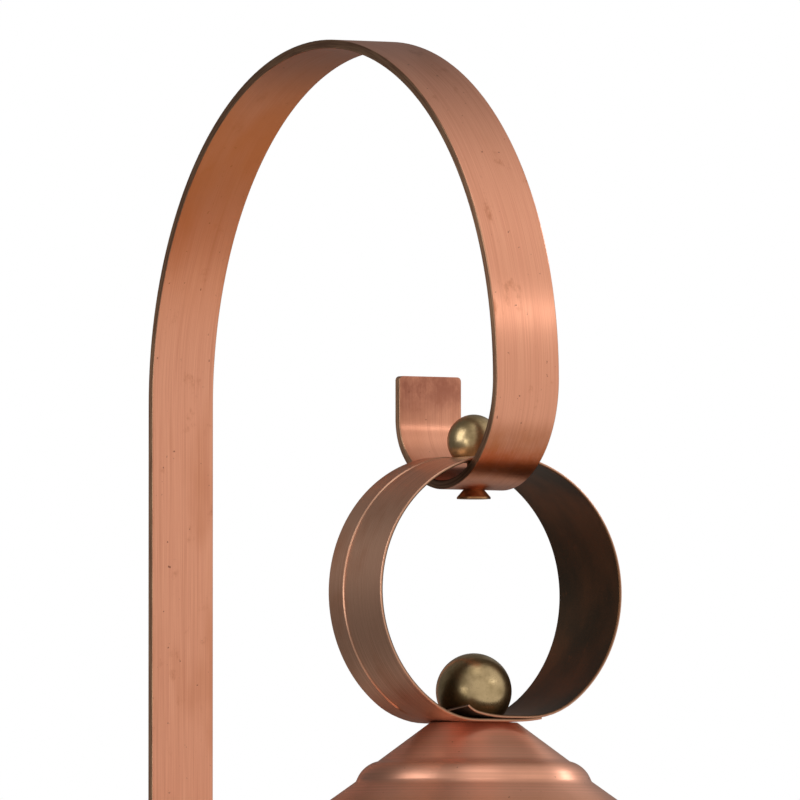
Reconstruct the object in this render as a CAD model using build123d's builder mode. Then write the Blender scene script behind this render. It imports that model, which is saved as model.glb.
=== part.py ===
from build123d import *
from math import acos, asin, cos, degrees, radians, sin, sqrt, tan
import os

# A copper wall crook that carries a hanging wind spinner.
#
# The back of the crook's leg lies against the wall, in the plane y = 0, and the
# spinner hangs out along -Y. +Z is up. The origin is the middle of the two
# wall-screw holes, on the back face of the leg. Lengths are in millimetres and
# angles in degrees.

# ---------------------------------------------------------------- dimensions

# Crook: one flat bar, bent over an arch and up into a hook
strap_width = 25.4
strap_thick = 3.2
strap_edge_round = 0.4
arch_outer_r = 125.5
spring_z = 273.0
leg_foot_z = -90.0
leg_corner_r = 6.0
hook_outer_r = 38.0
hook_sweep = 139.0
tail_bend_r = 20.0
tail_length = 15.0
tail_corner_r = 1.5
wall_hole_pitch = 130.0
wall_hole_r = 2.75
wall_head_r = 5.5
countersink_angle = 82.0

# Screw and ball nut that clamp the ring in the hook
hook_screw_r = 2.4
screw_clearance = 0.3
hook_neck_r = 3.75
hook_screw_face_r = 6.0
hook_screw_edge = 0.6
hook_ball_r = 9.4
hook_ball_height = 15.2
hook_thread_depth = 9.0
drive_width = 1.4
drive_depth = 1.2

# Hanging ring: a wide sheet band, hemmed on one rim, lapped at the bottom
ring_outer_r = 48.4
ring_thick = 1.1
ring_band = 39.2
ring_top_flat = 8.0
ring_foot_flat = 15.5
ring_tongue_gap = 2.6
ring_lap_gap = 0.1
ring_lip_rise = 2.8
ring_lip_r = 4.4
ring_hem_width = 11.5
ring_hem_step = 0.4
ring_hem_trim = 24.0
seat_clearance = 0.02

# Ball nut that clamps the ring, the cap and the axle together
ring_ball_r = 13.4
ring_ball_height = 22.2
ring_thread_depth = 14.0
thread_end_gap = 0.5
axle_r = 4.0
axle_clearance = 0.2

# Rain cap, spun from sheet
cap_thick = 1.0
cap_slope = 36.5
cap_skirt_slope = 35.5
crown_r = 15.3
bead_start_r = 33.7
bead_r = 9.7
bead_flat_slope = 12.0
bead_steep_slope = 65.0
bead_drop = 1.6
eave_r = 83.0
rim_roll_r = 2.0
rim_roll_turn = 250.0

# Washers and nuts on the axle
washer_r = 9.0
washer_thick = 1.6
nut_across_flats = 13.0
nut_height = 6.5
nut_bevel = 0.7
axle_tail = 3.0

# Ball bearings
bearing_outer_r = 11.0
bearing_width = 7.0
bearing_bore_clearance = 0.02
inner_race_r = 6.05
outer_race_r = 9.45
bearing_ball_r = 1.985
bearing_ball_count = 7
groove_clearance = 0.06
cage_wall = 1.7
cage_height = 5.2
cage_clearance = 0.08
race_bevel = 0.3

# Hubs that hold the bearings
hub_wall = 4.0
hub_flange_r = 23.0
hub_flange_thick = 3.0
hub_shoulder = 2.0
hub_mouth_r = 8.6
hub_skirt = 2.0
hub_round = 0.8
upper_hub_lift = 20.0
circlip_thick = 1.0
circlip_grip = 0.7
circlip_band = 2.0
circlip_opening = 6.0
circlip_clearance = 0.05
spacer_wall = 1.9

# Rotor
rotor_height = 200.0
rotor_end_r = 58.0
rotor_waist_r = 104.0
plate_r = 78.0
plate_thick = 1.5
plate_bore_r = 11.5
plate_gap = 4.0
plate_round = 0.5
blade_count = 12
blade_chord = 34.0
blade_camber = 3.2
blade_thick = 0.8
blade_pitch = 40.0
tab_length = 26.0
tab_width = 12.0
rivet_r = 1.6
rivet_head_r = 2.9
rivet_head_height = 1.5
rivet_clearance = 0.05
blade_rivet_inset = 8.5
blade_rivet_shift = 2.0
hub_rivet_circle_r = 19.0
hub_rivet_count = 4

# Bottom pan and finial
pan_thick = 1.0
pan_rim_r = 76.0
pan_wall_r = 65.0
pan_slope = 33.0
pan_bead_r = 7.0
pan_bead_start_r = 46.0
pan_depth = 31.0
pan_screw_circle_r = 70.5
pan_screw_count = 4
pan_screw_start = 23.0
pan_screw_r = 1.5
pan_screw_head_r = 2.8
pan_screw_head_height = 1.8
pan_screw_length = 5.0
finial_ball_r = 13.4
finial_ball_height = 22.2
finial_screw_r = 2.4
finial_screw_head_r = 4.4
finial_screw_head_height = 2.6
finial_thread_depth = 10.0

# ------------------------------------------------------------ derived places

# Crook and hook
strap_mid = strap_thick / 2
hook_inner_r = hook_outer_r - strap_thick
hook_hole_r = hook_screw_r + screw_clearance
axis_y = hook_outer_r - 2 * arch_outer_r
hook_bottom_z = spring_z - hook_outer_r

# Ring: its rims rest on the hook's walls at the edges of the bar
rim_contact_z = spring_z - sqrt(hook_inner_r**2 - (ring_band / 2) ** 2)
ring_inner_r = ring_outer_r - ring_thick
ring_mid_r = ring_outer_r - ring_thick / 2
ring_z = rim_contact_z - sqrt(ring_inner_r**2 - (strap_width / 2) ** 2) + seat_clearance
ring_top_mid_z = ring_z + sqrt(ring_mid_r**2 - ring_top_flat**2)
ring_top_z = ring_top_mid_z + ring_thick / 2
ring_foot_mid_z = ring_z - sqrt(ring_mid_r**2 - ring_foot_flat**2)
ring_lap_mid_z = ring_foot_mid_z + ring_thick + ring_lap_gap
ring_seat_z = ring_lap_mid_z + ring_thick / 2
ring_ball_seat_r = sqrt(ring_ball_r**2 - (ring_ball_height - ring_ball_r) ** 2)

# Rain cap: depth at the bead, at the eave and at the bottom of the rolled rim
crown_z = ring_foot_mid_z - ring_thick / 2
bead_start_drop = (bead_start_r - crown_r) * tan(radians(cap_slope))
bead_run = bead_r * (sin(radians(bead_steep_slope)) - sin(radians(bead_flat_slope)))
bead_fall = bead_r * (cos(radians(bead_flat_slope)) - cos(radians(bead_steep_slope)))
skirt_start_r = bead_start_r + bead_run + bead_drop / tan(radians(bead_steep_slope))
skirt_start_drop = bead_start_drop + bead_fall + bead_drop
eave_drop = skirt_start_drop + (eave_r - skirt_start_r) * tan(radians(cap_skirt_slope))
cap_depth = cap_thick + eave_drop + rim_roll_r * (1 + cos(radians(cap_skirt_slope)))

# Stack on the axle, from the crown down
cap_washer_z = crown_z - cap_thick - washer_thick
cap_nut_z = cap_washer_z - nut_height
plate_top_z = crown_z - cap_depth - plate_gap
plate_under_z = plate_top_z - plate_thick
rotor_mid_z = plate_under_z - rotor_height / 2
floor_top_z = plate_under_z - rotor_height
floor_under_z = floor_top_z - plate_thick
upper_bearing_z = plate_top_z + upper_hub_lift - bearing_width
lower_bearing_z = floor_under_z - hub_shoulder - bearing_width
lower_washer_z = lower_bearing_z - washer_thick
lower_nut_z = lower_washer_z - nut_height
axle_top_z = ring_seat_z + ring_thread_depth - thread_end_gap
axle_foot_z = lower_nut_z - axle_tail
axle_hole_r = axle_r + axle_clearance
bearing_bore_r = axle_r + bearing_bore_clearance
bearing_pitch_r = (inner_race_r + outer_race_r) / 2
hub_outer_r = bearing_outer_r + hub_wall
spacer_outer_r = axle_hole_r + spacer_wall
circlip_outer_r = bearing_outer_r + circlip_grip

# Planes and lines on the spinner's axis
axis_line = Axis((0, axis_y, 0), (0, 0, 1))
turning_plane = Plane(origin=(0, axis_y, 0), x_dir=(1, 0, 0), z_dir=(0, -1, 0))
axis_floor = Plane(origin=(0, axis_y, 0))

os.makedirs("parts", exist_ok=True)

# --------------------------------------------------------------- crook strap

with BuildPart() as crook_strap:
    with BuildSketch(Plane.YZ):
        with BuildLine():
            leg = Line((-strap_mid, leg_foot_z), (-strap_mid, spring_z))
            arch = JernArc(leg @ 1, leg % 1, arch_outer_r - strap_mid, 180)
            hook = JernArc(arch @ 1, arch % 1, hook_outer_r - strap_mid, hook_sweep)
            bend = JernArc(hook @ 1, hook % 1, tail_bend_r - strap_mid, 180 - hook_sweep)
            Line(bend @ 1, bend @ 1 + bend % 1 * tail_length)
        trace(line_width=strap_thick)
    extrude(amount=strap_width / 2, both=True)
    fillet(crook_strap.edges().filter_by(Axis.Y).group_by(Axis.Z)[0], leg_corner_r)
    fillet(crook_strap.edges().filter_by(Axis.Y).sort_by(Axis.Z)[-2:], tail_corner_r)
    side_edges = crook_strap.edges().group_by(Axis.X)
    fillet(side_edges[0] + side_edges[-1], strap_edge_round)
    with Locations(Plane.XZ.offset(strap_thick)):
        with GridLocations(0, wall_hole_pitch, 1, 2):
            CounterSinkHole(wall_hole_r, wall_head_r, 2 * strap_thick, countersink_angle)
    with Locations(Plane(origin=(0, axis_y, hook_bottom_z), z_dir=(0, 0, -1))):
        CounterSinkHole(hook_hole_r, hook_neck_r, 2 * strap_thick, countersink_angle)

crook_strap.part.label = "crook_strap"
export_step(crook_strap.part, "parts/crook_strap.step")

# ------------------------------------------------- screw and nut in the hook

# The countersunk head stands proud of the hook, seated by its cone
head_slope = tan(radians(countersink_angle / 2))
hook_cone_height = (hook_screw_face_r - hook_neck_r) / head_slope
hook_screw_foot_z = hook_bottom_z - hook_cone_height - hook_screw_edge
hook_cone_top_z = hook_bottom_z + (hook_neck_r - hook_screw_r) / head_slope
hook_screw_top_z = ring_top_z + hook_thread_depth - thread_end_gap

with BuildPart() as hook_screw:
    with BuildSketch(turning_plane):
        with BuildLine():
            Polyline(
                (0, hook_screw_foot_z),
                (hook_screw_face_r, hook_screw_foot_z),
                (hook_screw_face_r, hook_screw_foot_z + hook_screw_edge),
                (hook_screw_r, hook_cone_top_z),
                (hook_screw_r, hook_screw_top_z),
                (0, hook_screw_top_z),
                close=True,
            )
        make_face()
    revolve(axis=axis_line)
    with BuildSketch(axis_floor.offset(hook_screw_foot_z)):
        Rectangle(2 * hook_screw_face_r, drive_width)
    extrude(amount=drive_depth, mode=Mode.SUBTRACT)

hook_screw.part.label = "hook_screw"
export_step(hook_screw.part, "parts/hook_screw.step")


def ball_nut(seat_z, ball_r, height, bore_r, depth, way):
    """A ball with a flat seat and a blind threaded hole; way is 1 up, -1 down."""
    centre_z = seat_z + way * (height - ball_r)
    seat_r = sqrt(ball_r**2 - (height - ball_r) ** 2)
    with BuildPart() as ball:
        with BuildSketch(turning_plane):
            with BuildLine():
                Polyline(
                    (0, seat_z + way * height),
                    (0, seat_z + way * depth),
                    (bore_r, seat_z + way * depth),
                    (bore_r, seat_z),
                    (seat_r, seat_z),
                )
                ThreePointArc((seat_r, seat_z), (ball_r, centre_z), (0, seat_z + way * height))
            make_face()
        revolve(axis=axis_line)
    return ball


hook_ball_nut = ball_nut(
    ring_top_z, hook_ball_r, hook_ball_height, hook_screw_r, hook_thread_depth, 1
)
hook_ball_nut.part.label = "hook_ball_nut"
export_step(hook_ball_nut.part, "parts/hook_ball_nut.step")

ring_ball_nut = ball_nut(ring_seat_z, ring_ball_r, ring_ball_height, axle_r, ring_thread_depth, 1)
ring_ball_nut.part.label = "ring_ball_nut"
export_step(ring_ball_nut.part, "parts/ring_ball_nut.step")

# -------------------------------------------------------------- hanging ring

# Half angles, seen from the ring's centre, of the flats at the top and foot
top_half = degrees(asin(ring_top_flat / ring_mid_r))
foot_half = degrees(asin(ring_foot_flat / ring_mid_r))
lap_half = degrees(acos((ring_z - ring_lap_mid_z) / ring_mid_r))
lap_x = ring_mid_r * sin(radians(lap_half))
lip_turn = degrees(acos(1 - ring_lip_rise / ring_lip_r))
hem_mid_r = ring_mid_r + ring_hem_step / 2
hem_top_z = ring_top_mid_z + ring_hem_step / 2
hem_half = degrees(acos((hem_top_z - ring_z) / hem_mid_r))
ring_centre = (0, ring_z)

with BuildPart() as hanging_ring:
    with BuildSketch(turning_plane):
        with BuildLine():
            Line((lap_x - ring_tongue_gap, ring_foot_mid_z), (-ring_foot_flat, ring_foot_mid_z))
            CenterArc(ring_centre, ring_mid_r, -90 - foot_half, foot_half + top_half - 180)
            Line((-ring_top_flat, ring_top_mid_z), (ring_top_flat, ring_top_mid_z))
            CenterArc(ring_centre, ring_mid_r, 90 - top_half, top_half + lap_half - 180)
            lap = Line((lap_x, ring_lap_mid_z), (-ring_ball_seat_r, ring_lap_mid_z))
            JernArc(lap @ 1, lap % 1, ring_lip_r, -lip_turn)
        trace(line_width=ring_thick)
    extrude(amount=ring_band / 2, both=True)
    with BuildSketch(turning_plane.offset(-ring_band / 2)):
        with BuildLine():
            left_arc = hem_half + ring_hem_trim - 180
            CenterArc(ring_centre, hem_mid_r, -90 - ring_hem_trim, left_arc)
            hem_flat = hem_mid_r * sin(radians(hem_half))
            Line((-hem_flat, hem_top_z), (hem_flat, hem_top_z))
            CenterArc(ring_centre, hem_mid_r, 90 - hem_half, left_arc)
        trace(line_width=ring_thick + ring_hem_step)
    extrude(amount=ring_hem_width)
    with BuildSketch(axis_floor.offset(ring_z)):
        Circle(hook_hole_r)
    extrude(amount=ring_outer_r + ring_hem_step, mode=Mode.SUBTRACT)
    with BuildSketch(axis_floor.offset(ring_z)):
        Circle(axle_hole_r)
    extrude(amount=-ring_outer_r, mode=Mode.SUBTRACT)

hanging_ring.part.label = "hanging_ring"
export_step(hanging_ring.part, "parts/hanging_ring.step")

# ------------------------------------------------------------------ rain cap

cap_mid_z = crown_z - cap_thick / 2
bead_start = (bead_start_r, cap_mid_z - bead_start_drop)
bead_heading = (cos(radians(bead_flat_slope)), -sin(radians(bead_flat_slope)))
skirt_start = (skirt_start_r, cap_mid_z - skirt_start_drop)
eave = (eave_r, cap_mid_z - eave_drop)

with BuildPart() as rain_cap:
    with BuildSketch(turning_plane):
        with BuildLine():
            Polyline((axle_hole_r, cap_mid_z), (crown_r, cap_mid_z), bead_start)
            bead = JernArc(bead_start, bead_heading, bead_r, bead_flat_slope - bead_steep_slope)
            skirt = Polyline(bead @ 1, skirt_start, eave)
            JernArc(eave, skirt % 1, rim_roll_r, -rim_roll_turn)
        trace(line_width=cap_thick)
    revolve(axis=axis_line)

rain_cap.part.label = "rain_cap"
export_step(rain_cap.part, "parts/rain_cap.step")

# ------------------------------------------------ axle, washers, nuts, tubes

with BuildPart(axis_floor.offset(axle_foot_z)) as axle_rod:
    Cylinder(axle_r, axle_top_z - axle_foot_z, align=(Align.CENTER, Align.CENTER, Align.MIN))
    chamfer(axle_rod.edges().filter_by(GeomType.CIRCLE), nut_bevel)

axle_rod.part.label = "axle_rod"
export_step(axle_rod.part, "parts/axle_rod.step")


def tube(low_z, high_z, inner_r, outer_r):
    """A plain tube or washer on the axle."""
    with BuildPart() as sleeve:
        with BuildSketch(axis_floor.offset(low_z)):
            Circle(outer_r)
            Circle(inner_r, mode=Mode.SUBTRACT)
        extrude(amount=high_z - low_z)
    return sleeve


def hex_nut(low_z):
    """A hexagon nut on the axle, its corners turned off at both faces."""
    corner_r = nut_across_flats / 2 / cos(radians(30))
    face_r = corner_r - nut_bevel
    with BuildPart() as nut:
        with BuildSketch(axis_floor.offset(low_z)):
            RegularPolygon(nut_across_flats / 2, 6, major_radius=False)
            Circle(axle_r, mode=Mode.SUBTRACT)
        extrude(amount=nut_height)
        with BuildSketch(turning_plane):
            with BuildLine():
                Polyline(
                    (0, low_z),
                    (face_r, low_z),
                    (corner_r, low_z + nut_bevel),
                    (corner_r, low_z + nut_height - nut_bevel),
                    (face_r, low_z + nut_height),
                    (0, low_z + nut_height),
                    close=True,
                )
            make_face()
        revolve(axis=axis_line, mode=Mode.INTERSECT)
    return nut


cap_washer = tube(cap_washer_z, cap_washer_z + washer_thick, axle_hole_r, washer_r)
cap_washer.part.label = "cap_washer"
export_step(cap_washer.part, "parts/cap_washer.step")

cap_lock_nut = hex_nut(cap_nut_z)
cap_lock_nut.part.label = "cap_lock_nut"
export_step(cap_lock_nut.part, "parts/cap_lock_nut.step")

upper_spacer = tube(upper_bearing_z + bearing_width, cap_nut_z, axle_hole_r, spacer_outer_r)
upper_spacer.part.label = "upper_spacer"
export_step(upper_spacer.part, "parts/upper_spacer.step")

long_spacer = tube(
    lower_bearing_z + bearing_width, upper_bearing_z, axle_hole_r, spacer_outer_r
)
long_spacer.part.label = "long_spacer"
export_step(long_spacer.part, "parts/long_spacer.step")

lower_washer = tube(lower_washer_z, lower_bearing_z, axle_hole_r, spacer_outer_r)
lower_washer.part.label = "lower_washer"
export_step(lower_washer.part, "parts/lower_washer.step")

lower_lock_nut = hex_nut(lower_nut_z)
lower_lock_nut.part.label = "lower_lock_nut"
export_step(lower_lock_nut.part, "parts/lower_lock_nut.step")

# ------------------------------------------------------------- ball bearings


def race(low_z, inner_r, outer_r, rim_r):
    """A bearing race with a ball groove; rim_r is the plain round side."""
    mid_z = low_z + bearing_width / 2
    with BuildPart() as race_ring:
        with BuildSketch(turning_plane):
            with Locations(((inner_r + outer_r) / 2, mid_z)):
                Rectangle(outer_r - inner_r, bearing_width)
            with Locations((bearing_pitch_r, mid_z)):
                Circle(bearing_ball_r + groove_clearance, mode=Mode.SUBTRACT)
        revolve(axis=axis_line)
        rims = race_ring.edges().filter_by(GeomType.CIRCLE)
        chamfer(rims.filter_by(lambda e: abs(e.radius - rim_r) < race_bevel), race_bevel)
    return race_ring


def cage(low_z):
    """The ring that keeps a bearing's balls apart, with a round pocket each."""
    pocket_r = bearing_ball_r + cage_clearance
    with BuildPart(axis_floor.offset(low_z + bearing_width / 2)) as ball_cage:
        Cylinder(bearing_pitch_r + cage_wall / 2, cage_height)
        Cylinder(bearing_pitch_r - cage_wall / 2, cage_height, mode=Mode.SUBTRACT)
        with PolarLocations(bearing_pitch_r, bearing_ball_count):
            Cylinder(pocket_r, 2 * cage_wall, rotation=(0, 90, 0), mode=Mode.SUBTRACT)
    return ball_cage


def balls(low_z):
    """A bearing's set of separate balls."""
    with BuildPart(axis_floor.offset(low_z + bearing_width / 2)) as ball_set:
        with PolarLocations(bearing_pitch_r, bearing_ball_count):
            Sphere(bearing_ball_r)
    return ball_set


for end, bearing_z in (("upper", upper_bearing_z), ("lower", lower_bearing_z)):
    inner_race = race(bearing_z, bearing_bore_r, inner_race_r, bearing_bore_r)
    inner_race.part.label = f"{end}_inner_race"
    export_step(inner_race.part, f"parts/{end}_inner_race.step")

    outer_race = race(bearing_z, outer_race_r, bearing_outer_r, bearing_outer_r)
    outer_race.part.label = f"{end}_outer_race"
    export_step(outer_race.part, f"parts/{end}_outer_race.step")

    bearing_cage = cage(bearing_z)
    bearing_cage.part.label = f"{end}_bearing_cage"
    export_step(bearing_cage.part, f"parts/{end}_bearing_cage.step")

    bearing_balls = balls(bearing_z)
    bearing_balls.part.label = f"{end}_bearing_balls"
    export_step(bearing_balls.part, f"parts/{end}_bearing_balls.step")

# ---------------------------------------------------------- hubs and circlips


def hub(bearing_z, flange_z, flange_way):
    """A flanged bearing housing, open below, its shoulder on the race's top.

    The flange's seat is at flange_z and the flange rises from it by flange_way.
    """
    shoulder_z = bearing_z + bearing_width
    skirt_z = bearing_z - circlip_thick - hub_skirt if flange_way < 0 else flange_z
    flange_low_z = min(flange_z, flange_z + flange_way * hub_flange_thick)
    with BuildPart() as housing:
        with BuildSketch(axis_floor.offset(skirt_z)):
            Circle(hub_outer_r)
        extrude(amount=shoulder_z + hub_shoulder - skirt_z)
        with BuildSketch(axis_floor.offset(flange_low_z)):
            Circle(hub_flange_r)
        extrude(amount=hub_flange_thick)
        rims = housing.edges().filter_by(GeomType.CIRCLE)
        chamfer(rims.filter_by(lambda e: e.radius > hub_outer_r + hub_round), hub_round)
        with BuildSketch(axis_floor.offset(skirt_z)):
            Circle(bearing_outer_r)
        extrude(amount=shoulder_z - skirt_z, mode=Mode.SUBTRACT)
        with BuildSketch(axis_floor.offset(shoulder_z)):
            Circle(hub_mouth_r)
        extrude(amount=hub_shoulder, mode=Mode.SUBTRACT)
        with BuildSketch(axis_floor.offset(bearing_z - circlip_thick - circlip_clearance)):
            Circle(circlip_outer_r + circlip_clearance)
        extrude(amount=circlip_thick + circlip_clearance, mode=Mode.SUBTRACT)
        with BuildSketch(axis_floor.offset(flange_low_z)):
            with PolarLocations(hub_rivet_circle_r, hub_rivet_count):
                Circle(rivet_r + rivet_clearance)
        extrude(amount=hub_flange_thick, mode=Mode.SUBTRACT)
    return housing


def circlip(bearing_z):
    """The spring ring that keeps a bearing up against its shoulder."""
    with BuildPart() as clip:
        with BuildSketch(axis_floor.offset(bearing_z - circlip_thick)):
            Circle(circlip_outer_r)
            Circle(circlip_outer_r - circlip_band, mode=Mode.SUBTRACT)
            with Locations((circlip_outer_r, 0)):
                Rectangle(circlip_outer_r, circlip_opening, mode=Mode.SUBTRACT)
        extrude(amount=circlip_thick)
    return clip


upper_hub = hub(upper_bearing_z, plate_top_z, 1)
upper_hub.part.label = "upper_hub"
export_step(upper_hub.part, "parts/upper_hub.step")

lower_hub = hub(lower_bearing_z, floor_under_z, -1)
lower_hub.part.label = "lower_hub"
export_step(lower_hub.part, "parts/lower_hub.step")

upper_circlip = circlip(upper_bearing_z)
upper_circlip.part.label = "upper_circlip"
export_step(upper_circlip.part, "parts/upper_circlip.step")

lower_circlip = circlip(lower_bearing_z)
lower_circlip.part.label = "lower_circlip"
export_step(lower_circlip.part, "parts/lower_circlip.step")

# -------------------------------------------------------------- rotor plates

rivet_ring_r = rotor_end_r - blade_rivet_inset
rivet_turn = degrees(asin(blade_rivet_shift / rivet_ring_r))


def rotor_plate(low_z):
    """One end plate of the rotor, with its bearing hole and rivet holes."""
    with BuildPart() as plate:
        with BuildSketch(axis_floor.offset(low_z)):
            Circle(plate_r)
            Circle(plate_bore_r, mode=Mode.SUBTRACT)
            with PolarLocations(rivet_ring_r, blade_count, rivet_turn):
                Circle(rivet_r + rivet_clearance, mode=Mode.SUBTRACT)
            with PolarLocations(hub_rivet_circle_r, hub_rivet_count):
                Circle(rivet_r + rivet_clearance, mode=Mode.SUBTRACT)
        extrude(amount=plate_thick)
        fillet(plate.edges().filter_by(GeomType.CIRCLE).group_by(SortBy.RADIUS)[-1], plate_round)
    return plate


rotor_top_plate = rotor_plate(plate_under_z)
rotor_top_plate.part.label = "rotor_top_plate"
export_step(rotor_top_plate.part, "parts/rotor_top_plate.step")

with BuildPart() as rotor_floor_plate:
    add(rotor_plate(floor_under_z).part)
    with BuildSketch(axis_floor.offset(floor_under_z)):
        with PolarLocations(pan_screw_circle_r, pan_screw_count, pan_screw_start):
            Circle(pan_screw_r)
    extrude(amount=plate_thick, mode=Mode.SUBTRACT)
rotor_floor_plate.part.label = "rotor_floor_plate"
export_step(rotor_floor_plate.part, "parts/rotor_floor_plate.step")

# -------------------------------------------------------------- rotor blades

# A blade bows out on a circle through both plates and the waist
blade_bow = rotor_waist_r - rotor_end_r
bow_r = (blade_bow**2 + (rotor_height / 2) ** 2) / (2 * blade_bow)
bow_centre_r = rotor_waist_r - bow_r
bow_turn = degrees(asin(rotor_height / 2 / (bow_r - blade_chord / 2)))
chord_out = blade_chord / 2 * sin(radians(blade_pitch))
chord_side = blade_chord / 2 * cos(radians(blade_pitch))
camber_out = blade_camber * cos(radians(blade_pitch))
camber_side = blade_camber * sin(radians(blade_pitch))


def blade(number):
    """A cupped blade, cut flat at both plates, with a riveting tab at each end."""
    turn = radians(number * 360 / blade_count)
    waist = Plane(origin=(0, axis_y, rotor_mid_z), x_dir=(cos(turn), sin(turn), 0))
    bow_axis = Axis(waist.from_local_coords((bow_centre_r, 0, 0)), waist.y_dir)
    with BuildPart() as vane:
        with BuildSketch(waist):
            with BuildLine():
                ThreePointArc(
                    (rotor_waist_r - chord_out, -chord_side),
                    (rotor_waist_r + camber_out, -camber_side),
                    (rotor_waist_r + chord_out, chord_side),
                )
            trace(line_width=blade_thick)
        revolve(axis=bow_axis, revolution_arc=bow_turn)
        mirror(about=waist)
        split(bisect_by=waist.offset(rotor_height / 2), keep=Keep.BOTTOM)
        split(bisect_by=waist.offset(-rotor_height / 2), keep=Keep.TOP)
        for tab_plane, way in (
            (waist.offset(rotor_height / 2), -1),
            (waist.offset(-rotor_height / 2), 1),
        ):
            with BuildSketch(tab_plane):
                with Locations((rivet_ring_r + tab_length / 2 - tab_width / 2, blade_rivet_shift)):
                    SlotOverall(tab_length, tab_width)
            extrude(amount=way * blade_thick)
            with BuildSketch(tab_plane):
                with Locations((rivet_ring_r * cos(radians(rivet_turn)), blade_rivet_shift)):
                    Circle(rivet_r + rivet_clearance)
            extrude(amount=way * blade_thick, mode=Mode.SUBTRACT)
    return vane


for number in range(blade_count):
    name = f"blade_{number + 1:02d}"
    rotor_blade = blade(number)
    rotor_blade.part.label = name
    export_step(rotor_blade.part, f"parts/{name}.step")

# -------------------------------------------------------------------- rivets


def dome_point(rim_r, rise):
    """The middle point of a dome's arc: radius, and height above the dome's rim."""
    dome_r = (rim_r**2 + rise**2) / (2 * rise)
    half_turn = asin(rim_r / dome_r) / 2
    return dome_r * sin(half_turn), dome_r * (cos(half_turn) - 1) + rise


def rivets(low_z, high_z, circle_r, count, start):
    """A ring of separate dome-headed rivets through the sheets from low_z to high_z."""
    dome_x, dome_rise = dome_point(rivet_head_r, rivet_head_height)
    foot = (0, low_z - rivet_head_height)
    crest = (0, high_z + rivet_head_height)
    low_rim = (rivet_head_r, low_z)
    high_rim = (rivet_head_r, high_z)
    with BuildPart() as rivet:
        with BuildSketch(Plane.XZ):
            with BuildLine():
                ThreePointArc(foot, (dome_x, low_z - dome_rise), low_rim)
                Polyline(low_rim, (rivet_r, low_z), (rivet_r, high_z), high_rim)
                ThreePointArc(high_rim, (dome_x, high_z + dome_rise), crest)
                Line(crest, foot)
            make_face()
        revolve(axis=Axis.Z)
    with BuildPart(axis_floor) as rivet_ring:
        with PolarLocations(circle_r, count, start):
            add(rivet.part)
    return rivet_ring


top_blade_rivets = rivets(
    plate_under_z - blade_thick, plate_top_z, rivet_ring_r, blade_count, rivet_turn
)
top_blade_rivets.part.label = "top_blade_rivets"
export_step(top_blade_rivets.part, "parts/top_blade_rivets.step")

floor_blade_rivets = rivets(
    floor_under_z, floor_top_z + blade_thick, rivet_ring_r, blade_count, rivet_turn
)
floor_blade_rivets.part.label = "floor_blade_rivets"
export_step(floor_blade_rivets.part, "parts/floor_blade_rivets.step")

upper_hub_rivets = rivets(
    plate_under_z, plate_top_z + hub_flange_thick, hub_rivet_circle_r, hub_rivet_count, 0
)
upper_hub_rivets.part.label = "upper_hub_rivets"
export_step(upper_hub_rivets.part, "parts/upper_hub_rivets.step")

lower_hub_rivets = rivets(
    floor_under_z - hub_flange_thick, floor_top_z, hub_rivet_circle_r, hub_rivet_count, 0
)
lower_hub_rivets.part.label = "lower_hub_rivets"
export_step(lower_hub_rivets.part, "parts/lower_hub_rivets.step")

# ---------------------------------------------------------- bottom pan, finial

pan_mid_z = floor_under_z - pan_thick / 2
pan_bead_z = pan_mid_z - (pan_wall_r - pan_bead_start_r) * tan(radians(pan_slope))
pan_bead_heading = (-cos(radians(bead_steep_slope)), -sin(radians(bead_steep_slope)))
pan_foot_mid_z = pan_mid_z - pan_depth
pan_under_z = pan_foot_mid_z - pan_thick / 2
finial_hole_r = finial_screw_r + screw_clearance

with BuildPart() as bottom_pan:
    with BuildSketch(turning_plane):
        with BuildLine():
            Polyline((pan_rim_r, pan_mid_z), (pan_wall_r, pan_mid_z), (pan_bead_start_r, pan_bead_z))
            pan_bead = JernArc(
                (pan_bead_start_r, pan_bead_z),
                pan_bead_heading,
                pan_bead_r,
                bead_flat_slope - bead_steep_slope,
            )
            bead_end = pan_bead @ 1
            pan_foot_r = bead_end.X - (bead_end.Y - pan_foot_mid_z) / tan(radians(pan_slope))
            Polyline(bead_end, (pan_foot_r, pan_foot_mid_z), (finial_hole_r, pan_foot_mid_z))
        trace(line_width=pan_thick)
    revolve(axis=axis_line)
    with BuildSketch(axis_floor.offset(floor_under_z - pan_thick)):
        with PolarLocations(pan_screw_circle_r, pan_screw_count, pan_screw_start):
            Circle(pan_screw_r + rivet_clearance)
    extrude(amount=pan_thick, mode=Mode.SUBTRACT)

bottom_pan.part.label = "bottom_pan"
export_step(bottom_pan.part, "parts/bottom_pan.step")


def domed_screw(seat_z, shank_r, length, head_r, head_height, way):
    """A screw about the Z axis; its shank runs from its seat by way, 1 up or -1 down."""
    dome_x, dome_rise = dome_point(head_r, head_height)
    crest = (0, seat_z - way * head_height)
    tip_z = seat_z + way * length
    head_rim = (head_r, seat_z)
    with BuildPart() as screw:
        with BuildSketch(Plane.XZ):
            with BuildLine():
                Polyline(crest, (0, tip_z), (shank_r, tip_z), (shank_r, seat_z), head_rim)
                ThreePointArc(head_rim, (dome_x, seat_z - way * dome_rise), crest)
            make_face()
        revolve(axis=Axis.Z)
    return screw


pan_screw = domed_screw(
    pan_mid_z - pan_thick / 2,
    pan_screw_r,
    pan_screw_length,
    pan_screw_head_r,
    pan_screw_head_height,
    1,
)
with BuildPart(axis_floor) as pan_screws:
    with PolarLocations(pan_screw_circle_r, pan_screw_count, pan_screw_start):
        add(pan_screw.part)
pan_screws.part.label = "pan_screws"
export_step(pan_screws.part, "parts/pan_screws.step")

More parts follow.
